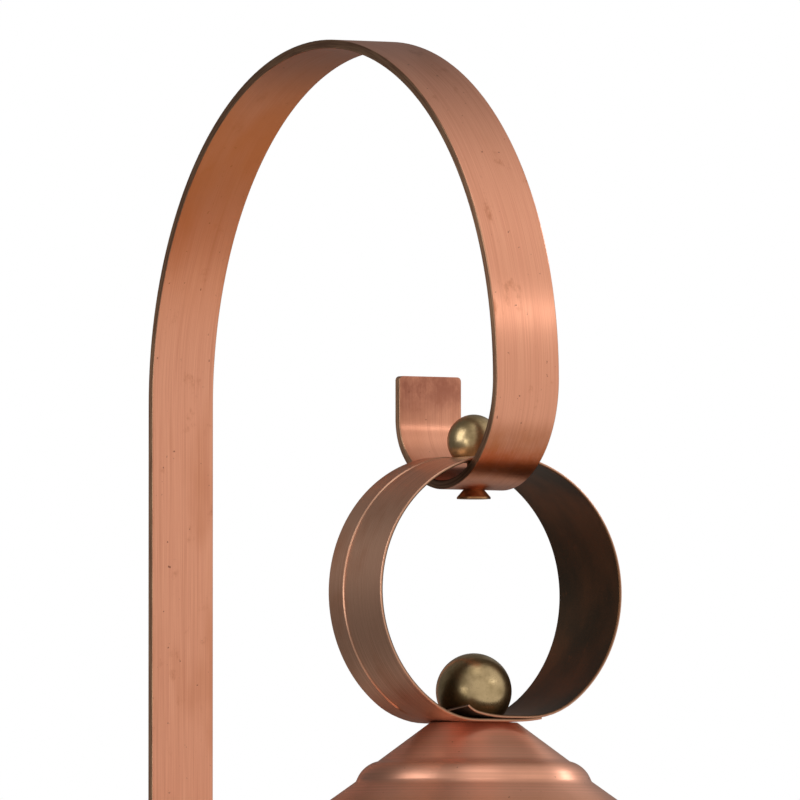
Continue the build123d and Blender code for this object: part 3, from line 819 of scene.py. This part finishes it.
def spin_sheet(outline, sheet):
    """Spins an outline of (radius, height) about the axis, as the middle of a sheet."""
    bm = bmesh.new()
    along = bm.verts.layers.float.new("along")
    verts = [bm.verts.new((x, AXIS_Y, z)) for x, z in outline]
    for low, high in zip(verts, verts[1:]):
        bm.edges.new((low, high))
        high[along] = low[along] + (high.co - low.co).length
    bmesh.ops.spin(
        bm, geom=bm.verts[:] + bm.edges[:], cent=(0, AXIS_Y, 0), axis=(0, 0, 1),
        angle=2 * pi, steps=SPIN_SEGMENTS, use_merge=True,
    )
    bmesh.ops.remove_doubles(bm, verts=bm.verts, dist=MERGE_DISTANCE)
    bmesh.ops.recalc_face_normals(bm, faces=bm.faces)
    middle = max(bm.faces, key=lambda face: face.calc_area())
    out = Vector((middle.calc_center_median().x, middle.calc_center_median().y - AXIS_Y, 0))
    if middle.normal.dot(out) < 0:
        bmesh.ops.reverse_faces(bm, faces=bm.faces)
    for vert in bm.verts:
        vert.co += vert.normal * (sheet / 2)
    bmesh.ops.solidify(bm, geom=bm.faces[:], thickness=sheet)
    return bm


def wrap_uv(bm, radius):
    """Lays a UV map round the axis: distance round at one radius, and along the outline."""
    along = bm.verts.layers.float["along"]
    uv = bm.loops.layers.uv.new("UVMap")
    for face in bm.faces:
        middle = face.calc_center_median()
        base = atan2(middle.y - AXIS_Y, middle.x)
        for loop in face.loops:
            turn = atan2(loop.vert.co.y - AXIS_Y, loop.vert.co.x) - base
            turn = (turn + pi) % (2 * pi) - pi
            loop[uv].uv = ((base + turn) * radius, loop.vert[along])


# -------------------------------------------------------------------- operators


class SPINNER_OT_stage(bpy.types.Operator):
    """Adds the floor, the soft studio light and the camera"""

    bl_idname = "spinner.stage"
    bl_label = "Stage"

    def execute(self, context):
        scene = context.scene
        settings = scene.spinner_stage
        scene.view_settings.view_transform = "Standard"
        self.add_floor(settings)
        self.add_world(scene)
        self.add_lights(settings)
        self.add_camera(scene, settings)
        return {"FINISHED"}

    def add_floor(self, settings):
        """A pale round floor, under the spinner and clear of it."""
        bm = bmesh.new()
        bmesh.ops.create_circle(
            bm, cap_ends=True, segments=SPIN_SEGMENTS, radius=settings.floor_radius
        )
        floor_z = CAD_BOX[0][2] - settings.floor_drop
        bmesh.ops.translate(bm, verts=bm.verts, vec=(0, AXIS_Y, floor_z))
        mesh = bpy.data.meshes.new("floor")
        bm.to_mesh(mesh)
        bm.free()
        material, tree, shader = new_material("painted_floor")
        plug(tree, shader, {"Base Color": linear("DEDAD4"), "Roughness": 0.8})
        mesh.materials.append(material)
        floor = bpy.data.objects.new("floor", mesh)
        bpy.context.scene.collection.objects.link(floor)

    def add_world(self, scene):
        """White to the camera; to the metal, a room that is bright in front and dim behind."""
        world = bpy.data.worlds.new("studio")
        world.use_nodes = True
        scene.world = world
        tree = world.node_tree
        tree.nodes.clear()
        direction = add(tree, "TexCoord").outputs["Generated"]
        bright_side = Vector((0.5, -0.85, 0.05)).normalized()
        facing = add(
            tree, "VectorMath", {0: direction, 1: bright_side}, operation="DOT_PRODUCT"
        )
        level = eased(tree, (facing, -0.6, 0.8, 0.16, 0.85))
        room = add(tree, "Background", {0: linear("FFFAF4"), 1: level})
        white = add(tree, "Background", {0: linear("FFFFFF"), 1: 1.0})
        seen = add(tree, "LightPath").outputs["Is Camera Ray"]
        both = add(tree, "MixShader", {0: seen, 1: room, 2: white})
        add(tree, "OutputWorld", {0: both})

    def add_lights(self, settings):
        """A softbox and a lamp on the right, a window and a side light on the left, a top."""
        aim = Vector((0, AXIS_Y, APEX_Z - settings.light_height))
        for name, spot, width, height, power in (
            ("softbox", Vector((1.2, -2.0, 0.95)), 1.2, 0.15, 2.0),
            ("lamp", Vector((1.8, -0.1, 0.95)), 0.22, 0.22, 5.0),
            ("window", Vector((-2.0, -1.0, -0.2)), 0.3, 0.7, 6.0),
            ("side", Vector((-2.0, 0.1, 0.8)), 1.2, 1.6, 20.0),
            ("top", Vector((-0.3, -0.8, 2.0)), 1.0, 1.0, 4.0),
        ):
            light = bpy.data.lights.new(name, "AREA")
            light.shape = "RECTANGLE"
            light.size = width
            light.size_y = height
            light.energy = power
            lamp = bpy.data.objects.new(name, light)
            bpy.context.scene.collection.objects.link(lamp)
            lamp.location = aim + spot
            lamp.rotation_mode = "QUATERNION"
            lamp.rotation_quaternion = (-spot).to_track_quat("-Z", "Y")

    def add_camera(self, scene, settings):
        """A long lens, tilted a little up at the ring and the arch."""
        camera = bpy.data.cameras.new("camera")
        camera.sensor_width = 36.0
        camera.lens = camera.sensor_width * settings.distance / settings.field
        camera.clip_end = 50.0
        eye = bpy.data.objects.new("camera", camera)
        scene.collection.objects.link(eye)
        turn = settings.azimuth
        back = Vector((sin(turn), -cos(turn), 0))
        left = Vector((-cos(turn), -sin(turn), 0))
        ring_z = (ring_low.z + ring_high.z) / 2
        aim = Vector((0, AXIS_Y, ring_z + settings.aim_lift)) + left * settings.aim_left
        drop = Vector((0, 0, -settings.distance * tan(settings.tilt)))
        place = aim + back * settings.distance + drop
        eye.location = place
        eye.rotation_mode = "QUATERNION"
        eye.rotation_quaternion = (aim - place).to_track_quat("-Z", "Y")
        scene.camera = eye


class SPINNER_OT_crook(bpy.types.Operator):
    """Bends the flat bar into the leg, the arch, the hook and its tail, and drills it"""

    bl_idname = "spinner.crook"
    bl_label = "Crook"

    def execute(self, context):
        sizes = context.scene.spinner_crook
        thick = sizes.bar_thickness
        bm = bmesh.new()
        add_layers(bm)
        side = bm.verts.layers.float["side"]
        depth = bm.verts.layers.float["depth"]
        bmesh.ops.create_grid(bm, x_segments=1, y_segments=1, size=0.5)
        bmesh.ops.scale(bm, verts=bm.verts, vec=(BAR_WIDTH, thick, 1))
        bmesh.ops.bevel(
            bm, geom=bm.verts[:], offset=sizes.edge_round, segments=ROUND_STEPS,
            profile=0.5, affect="VERTICES", material=-1, clamp_overlap=True,
        )
        foot = Vector((0, -thick / 2, crook_low.z))
        for vert in bm.verts:
            vert[side] = vert.co.x
            vert[depth] = 0.5 - vert.co.y / thick
        narrowed = 1 - 2 * sizes.foot_corner / BAR_WIDTH
        bmesh.ops.scale(bm, verts=bm.verts, vec=(narrowed, 1, 1))
        bmesh.ops.translate(bm, verts=bm.verts, vec=foot)
        bar = Bender(bm, bm.faces[:], foot, Vector((0, 0, 1)), Vector((1, 0, 0)))
        leg = SPRING_Z - crook_low.z
        bar.corner(BAR_WIDTH, sizes.foot_corner, FOOT_STEPS, closing=False)
        bar.straight(leg - sizes.foot_corner, LEG_STEPS)
        bar.bend(ARCH_R - thick / 2, pi, ARCH_STEPS)
        bar.bend(HOOK_R - thick / 2, sizes.hook_sweep, HOOK_STEPS)
        bar.bend(sizes.tail_bend - thick / 2, pi - sizes.hook_sweep, TAIL_BEND_STEPS)
        bar.straight(sizes.tail_length - sizes.tail_corner, TAIL_STEPS)
        bar.corner(BAR_WIDTH, sizes.tail_corner, TAIL_STEPS, closing=True)
        bmesh.ops.recalc_face_normals(bm, faces=bm.faces)
        map_bar(bm)
        arch = pi * (ARCH_R - thick / 2)
        copper = brushed_copper(
            "brushed_copper_bar", sizes.colour, leg + arch / 2, leg + arch, bar.travelled
        )
        piece = finish_piece("crook_bar", bm, copper, "crook", ["crook_strap"])
        cutter = bmesh.new()
        for height in (-sizes.hole_pitch / 2, sizes.hole_pitch / 2):
            place = Vector((0, -thick, height))
            into = Vector((0, 1, 0))
            drill(cutter, place, into, sizes.head_radius, sizes.hole_radius, 2 * thick)
        place = Vector((0, AXIS_Y, SPRING_Z - HOOK_R))
        head_r, hole_r = sizes.hook_head_radius, sizes.hook_hole_radius
        drill(cutter, place, Vector((0, 0, 1)), head_r, hole_r, 2 * thick)
        cut(piece, cutter)
        return {"FINISHED"}


class SPINNER_OT_ring(bpy.types.Operator):
    """Rolls the hemmed band into the hanging ring, with its ends lapped under the ball"""

    bl_idname = "spinner.ring"
    bl_label = "Hanging ring"

    def execute(self, context):
        sizes = context.scene.spinner_ring
        bm = bmesh.new()
        add_layers(bm)
        middle_r = (ring_high.x - ring_low.x) / 2 - sizes.hem_step - sizes.sheet / 2
        top_z = ring_high.z - sizes.hem_step - sizes.sheet / 2
        foot_z = cap_high.z + sizes.sheet / 2
        centre_z = top_z - sqrt(middle_r**2 - sizes.top_flat**2)
        bar = self.start_band(bm, sizes, foot_z)
        lap_run = self.roll(bar, sizes, middle_r, centre_z - foot_z, top_z - centre_z)
        bmesh.ops.recalc_face_normals(bm, faces=bm.faces)
        self.fade_hem(bm, sizes, centre_z)
        self.spring_lap(bm, sizes, lap_run)
        self.flare(bm, sizes)
        map_bar(bm)
        copper = band_copper("band_copper", sizes.colour)
        piece = finish_piece("ring_band", bm, copper, "crook", ["hanging_ring"])
        cutter = bmesh.new()
        for radius, height in ((sizes.top_hole, top_z), (sizes.foot_hole, foot_z)):
            bmesh.ops.create_cone(
                cutter, cap_ends=True, segments=HOLE_SEGMENTS, radius1=radius,
                radius2=radius, depth=sizes.hole_depth,
                matrix=Matrix.Translation((0, AXIS_Y, height)),
            )
        cut(piece, cutter)
        return {"FINISHED"}

    def start_band(self, bm, sizes, foot_z):
        """The band's section, with its round rims and its hem, at the tip of the tongue."""
        half = RING_BAND / 2
        side = bm.verts.layers.float["side"]
        depth = bm.verts.layers.float["depth"]
        bmesh.ops.create_grid(bm, x_segments=1, y_segments=1, size=0.5)
        bmesh.ops.scale(bm, verts=bm.verts, vec=(sizes.sheet, RING_BAND, 1))
        bmesh.ops.bevel(
            bm, geom=bm.verts[:], offset=sizes.rim_round, segments=ROUND_STEPS,
            profile=0.5, affect="VERTICES", material=-1,
        )
        hem_line = half - sizes.hem_width
        for line in (hem_line, hem_line + sizes.hem_step):
            geometry = bm.verts[:] + bm.edges[:] + bm.faces[:]
            bmesh.ops.bisect_plane(
                bm, geom=geometry, plane_co=(0, line, 0), plane_no=(0, 1, 0)
            )
        for vert in bm.verts:
            vert[side] = vert.co.y
            vert[depth] = vert.co.x / sizes.sheet + 0.5
            if vert.co.x > 0 and vert.co.y > hem_line + sizes.hem_step / 2:
                vert.co.x += sizes.hem_step
        free = sizes.tongue_reach - sizes.tongue_flat
        turn = 2 * atan2(sizes.tongue_lift, free)
        across = Vector((0, 1, 0))
        heading = Vector((-cos(turn), 0, -sin(turn)))
        outward = heading.cross(across)
        facing = Matrix((outward, across, outward.cross(across))).transposed()
        start = Vector((sizes.tongue_reach, AXIS_Y, foot_z + sizes.tongue_lift))
        bmesh.ops.transform(
            bm, verts=bm.verts, matrix=Matrix.Translation(start) @ facing.to_4x4()
        )
        bar = Bender(bm, bm.faces[:], start, heading, across)
        bar.bend(free / sin(turn), turn, TONGUE_STEPS)
        return bar

    def roll(self, bar, sizes, middle_r, foot_drop, top_rise):
        """Bends the band round from its tongue to its lap; returns where the lap starts."""
        lap_drop = foot_drop - sizes.sheet - sizes.lap_gap
        foot_half, foot_turn = corner_bend(middle_r, foot_drop, sizes.foot_corner)
        lap_half, lap_turn = corner_bend(middle_r, lap_drop, sizes.foot_corner)
        top_half, top_turn = corner_bend(middle_r, top_rise, sizes.top_corner)
        bar.straight(sizes.tongue_flat + foot_half, FLAT_STEPS)
        bar.bend(sizes.foot_corner, foot_turn, CORNER_STEPS)
        bar.bend(middle_r, pi - foot_turn - top_turn, SIDE_STEPS)
        bar.bend(sizes.top_corner, top_turn, TOP_CORNER_STEPS)
        bar.straight(2 * top_half, TOP_FLAT_STEPS)
        bar.bend(sizes.top_corner, top_turn, TOP_CORNER_STEPS)
        bar.bend(middle_r, pi - top_turn - lap_turn, SIDE_STEPS)
        bar.bend(sizes.foot_corner, lap_turn, CORNER_STEPS)
        lap_run = bar.travelled
        bar.straight(lap_half + sizes.lap_reach, LAP_STEPS)
        lip_turn = 2 * atan2(sizes.lip_lift, sizes.lip_reach)
        bar.bend(sizes.lip_reach / sin(lip_turn), lip_turn, TONGUE_STEPS)
        return lap_run

    def fade_hem(self, bm, sizes, centre_z):
        """Dresses the hem flat where the band comes down to the lap."""
        side = bm.verts.layers.float["side"]
        depth = bm.verts.layers.float["depth"]
        hem_line = RING_BAND / 2 - sizes.hem_width + sizes.hem_step / 2
        for vert in bm.verts:
            if vert[depth] < 0.5 or vert[side] < hem_line:
                continue
            angle = abs(atan2(vert.co.x, centre_z - vert.co.z))
            fade = (sizes.hem_end - angle) / sizes.hem_fade
            vert.co.z += sizes.hem_step * min(max(fade, 0), 1)

    def spring_lap(self, bm, sizes, lap_run):
        """Lets the front of the lap spring up a little beside the ball."""
        run = bm.verts.layers.float["run"]
        for vert in bm.verts:
            if vert[run] < lap_run or vert.co.x > sizes.spring_start:
                continue
            along = (sizes.spring_start - vert.co.x) / (sizes.spring_start + sizes.lap_reach)
            back = 1 - (AXIS_Y - vert.co.y) / (RING_BAND / 2)
            share = min(max(1 - back / sizes.spring_share, 0), 1)
            vert.co.z += sizes.spring_lift * along**2 * share

    def flare(self, bm, sizes):
        """Opens the front rim and closes the back one a little."""
        for vert in bm.verts:
            vert.co.x *= 1 + sizes.flare * (AXIS_Y - vert.co.y) / (RING_BAND / 2)


class SPINNER_OT_balls(bpy.types.Operator):
    """Turns the three ball nuts"""

    bl_idname = "spinner.balls"
    bl_label = "Ball nuts"

    def execute(self, context):
        sizes = context.scene.spinner_brass
        brass = antique_brass("antique_brass", sizes.colour)
        balls = (
            ("hook_ball", "hook_ball_nut", hook_ball_low, hook_ball_high, 1, "crook"),
            ("ring_ball", "ring_ball_nut", ring_ball_low, ring_ball_high, 1, "crook"),
            ("finial", "finial_ball", finial_low, finial_high, -1, "rotor"),
        )
        for name, node, low, high, way, body in balls:
            self.turn_ball(sizes, brass, name, node, low, high, way, body)
        return {"FINISHED"}

    def turn_ball(self, sizes, brass, name, node, low, high, way, body):
        """A ball with a flat seat, below it where way is 1 and above it where way is -1."""
        radius = (high.x - low.x) / 2
        seat_z = low.z if way > 0 else high.z
        centre_z = high.z - radius if way > 0 else low.z + radius
        bm = bmesh.new()
        bmesh.ops.create_uvsphere(
            bm, u_segments=sizes.segments, v_segments=sizes.segments // 2, radius=radius
        )
        bmesh.ops.translate(bm, verts=bm.verts, vec=(0, AXIS_Y, centre_z))
        geometry = bm.verts[:] + bm.edges[:] + bm.faces[:]
        sliced = bmesh.ops.bisect_plane(
            bm, geom=geometry, plane_co=(0, AXIS_Y, seat_z), plane_no=(0, 0, -way),
            clear_outer=True,
        )
        rim = [item for item in sliced["geom_cut"] if isinstance(item, bmesh.types.BMEdge)]
        bmesh.ops.contextual_create(bm, geom=rim)
        bmesh.ops.bevel(
            bm, geom=rim, offset=sizes.edge_round, segments=ROUND_STEPS, profile=0.5,
            affect="EDGES", material=-1,
        )
        bmesh.ops.recalc_face_normals(bm, faces=bm.faces)
        finish_piece(name, bm, brass, body, [node])


class SPINNER_OT_cap(bpy.types.Operator):
    """Spins the rain cap"""

    bl_idname = "spinner.cap"
    bl_label = "Rain cap"

    def execute(self, context):
        sizes = context.scene.spinner_sheet
        bm = spin_sheet(self.outline(sizes), sizes.sheet)
        wrap_uv(bm, sizes.bead_start)
        spun = spun_copper("spun_copper_cap", sizes.colour, sizes.line_spacing, mapped=True)
        finish_piece("rain_cap_shell", bm, spun, "crook", ["rain_cap"])
        return {"FINISHED"}

    def outline(self, sizes):
        """The middle of the sheet, from the crown's hole to the rolled rim."""
        top = cap_high.z - sizes.sheet / 2
        fall = (sizes.bead_start - sizes.crown_radius) * tan(sizes.cap_slope)
        start = (sizes.bead_start, top - fall)
        centre = (
            start[0] - sizes.bead_radius * sin(sizes.bead_flat),
            start[1] - sizes.bead_radius * cos(sizes.bead_flat),
        )
        turn = sizes.bead_flat - sizes.bead_steep
        bead = arc_points(centre, sizes.bead_radius, pi / 2 - sizes.bead_flat, turn, 10)
        step = (
            bead[-1][0] + sizes.bead_drop / tan(sizes.bead_steep),
            bead[-1][1] - sizes.bead_drop,
        )
        skirt_run = sizes.eave_radius - step[0]
        eave = (sizes.eave_radius, step[1] - skirt_run * tan(sizes.skirt_slope))
        roll_centre = (
            eave[0] - sizes.roll_radius * sin(sizes.skirt_slope),
            eave[1] - sizes.roll_radius * cos(sizes.skirt_slope),
        )
        roll_start = pi / 2 - sizes.skirt_slope
        return [
            *line_points((sizes.hole_radius, top), (sizes.crown_radius, top), 6),
            *line_points((sizes.crown_radius, top), start, 12),
            *bead[:-1],
            *line_points(bead[-1], step, 2),
            *line_points(step, eave, 20),
            *arc_points(roll_centre, sizes.roll_radius, roll_start, -sizes.roll_turn, 14),
        ]


class SPINNER_OT_copper(bpy.types.Operator):
    """Finishes the pan, the plates, the blades and their rivets"""

    bl_idname = "spinner.copper"
    bl_label = "Rotor copper"

    def execute(self, context):
        sizes = context.scene.spinner_sheet
        spun = spun_copper("spun_copper", sizes.colour, sizes.line_spacing, mapped=False)
        paint(["bottom_pan", "rotor_top_plate", "rotor_floor_plate"], spun)
        rolled = blade_copper("rolled_copper", "DFA183")
        paint([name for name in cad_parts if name.startswith("blade_")], rolled)
        rivet = plain_metal("copper_rivet", "C79A6E", "9A6C48", 0.32, 0.5, 0.4)
        paint([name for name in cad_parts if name.endswith("rivets")], rivet)
        paint(["pan_screws", "finial_screw", "hook_screw"], rivet)
        return {"FINISHED"}


class SPINNER_OT_works(bpy.types.Operator):
    """Finishes the axle, its fasteners, the hubs and the bearings"""

    bl_idname = "spinner.works"
    bl_label = "Axle and bearings"

    def execute(self, context):
        zinc = plain_metal("zinc_plate", "B9BBB8", "9DA09E", 0.3, 0.45, 0.333)
        paint(["axle_rod", "cap_washer", "cap_lock_nut", "lower_washer", "lower_lock_nut"], zinc)
        paint(["upper_spacer", "long_spacer", "upper_circlip", "lower_circlip"], zinc)
        steel = plain_metal("bearing_steel", "C8CACC", "B2B5B8", 0.12, 0.24, 0.2)
        races = ("upper_inner_race", "upper_outer_race", "lower_inner_race", "lower_outer_race")
        paint([*races, "upper_bearing_balls", "lower_bearing_balls"], steel)
        brass = plain_metal("turned_brass", "C9A65C", "A8853F", 0.25, 0.4, 0.286)
        paint(["upper_hub", "lower_hub"], brass)
        paint(["upper_bearing_cage", "lower_bearing_cage"], natural_nylon("natural_nylon"))
        return {"FINISHED"}


class SPINNER_PT_panel(bpy.types.Panel):
    """Lists the spinner's pieces and sizes"""

    bl_idname = "SPINNER_PT_panel"
    bl_label = "Copper wind spinner"
    bl_space_type = "VIEW_3D"
    bl_region_type = "UI"
    bl_category = "Spinner"

    def draw(self, context):
        layout = self.layout
        for operator in OPERATORS:
            layout.operator(operator.bl_idname)
        for group in GROUPS:
            settings = getattr(context.scene, group)
            for name in settings.__annotations__:
                layout.prop(settings, name)


GROUPS = {
    "spinner_crook": SpinnerCrook,
    "spinner_ring": SpinnerRing,
    "spinner_sheet": SpinnerSheet,
    "spinner_brass": SpinnerBrass,
    "spinner_stage": SpinnerStage,
}
OPERATORS = (
    SPINNER_OT_stage,
    SPINNER_OT_crook,
    SPINNER_OT_ring,
    SPINNER_OT_balls,
    SPINNER_OT_cap,
    SPINNER_OT_copper,
    SPINNER_OT_works,
)


def register():
    for group in GROUPS.values():
        bpy.utils.register_class(group)
    for name, group in GROUPS.items():
        setattr(bpy.types.Scene, name, PointerProperty(type=group))
    for operator in OPERATORS:
        bpy.utils.register_class(operator)
    bpy.utils.register_class(SPINNER_PT_panel)


def unregister():
    bpy.utils.unregister_class(SPINNER_PT_panel)
    for operator in reversed(OPERATORS):
        bpy.utils.unregister_class(operator)
    for name in GROUPS:
        delattr(bpy.types.Scene, name)
    for group in GROUPS.values():
        bpy.utils.unregister_class(group)


def main():
    register()
    bpy.ops.spinner.stage()
    bpy.ops.spinner.crook()
    bpy.ops.spinner.ring()
    bpy.ops.spinner.balls()
    bpy.ops.spinner.cap()
    bpy.ops.spinner.copper()
    bpy.ops.spinner.works()


if __name__ == "__main__":
    main()
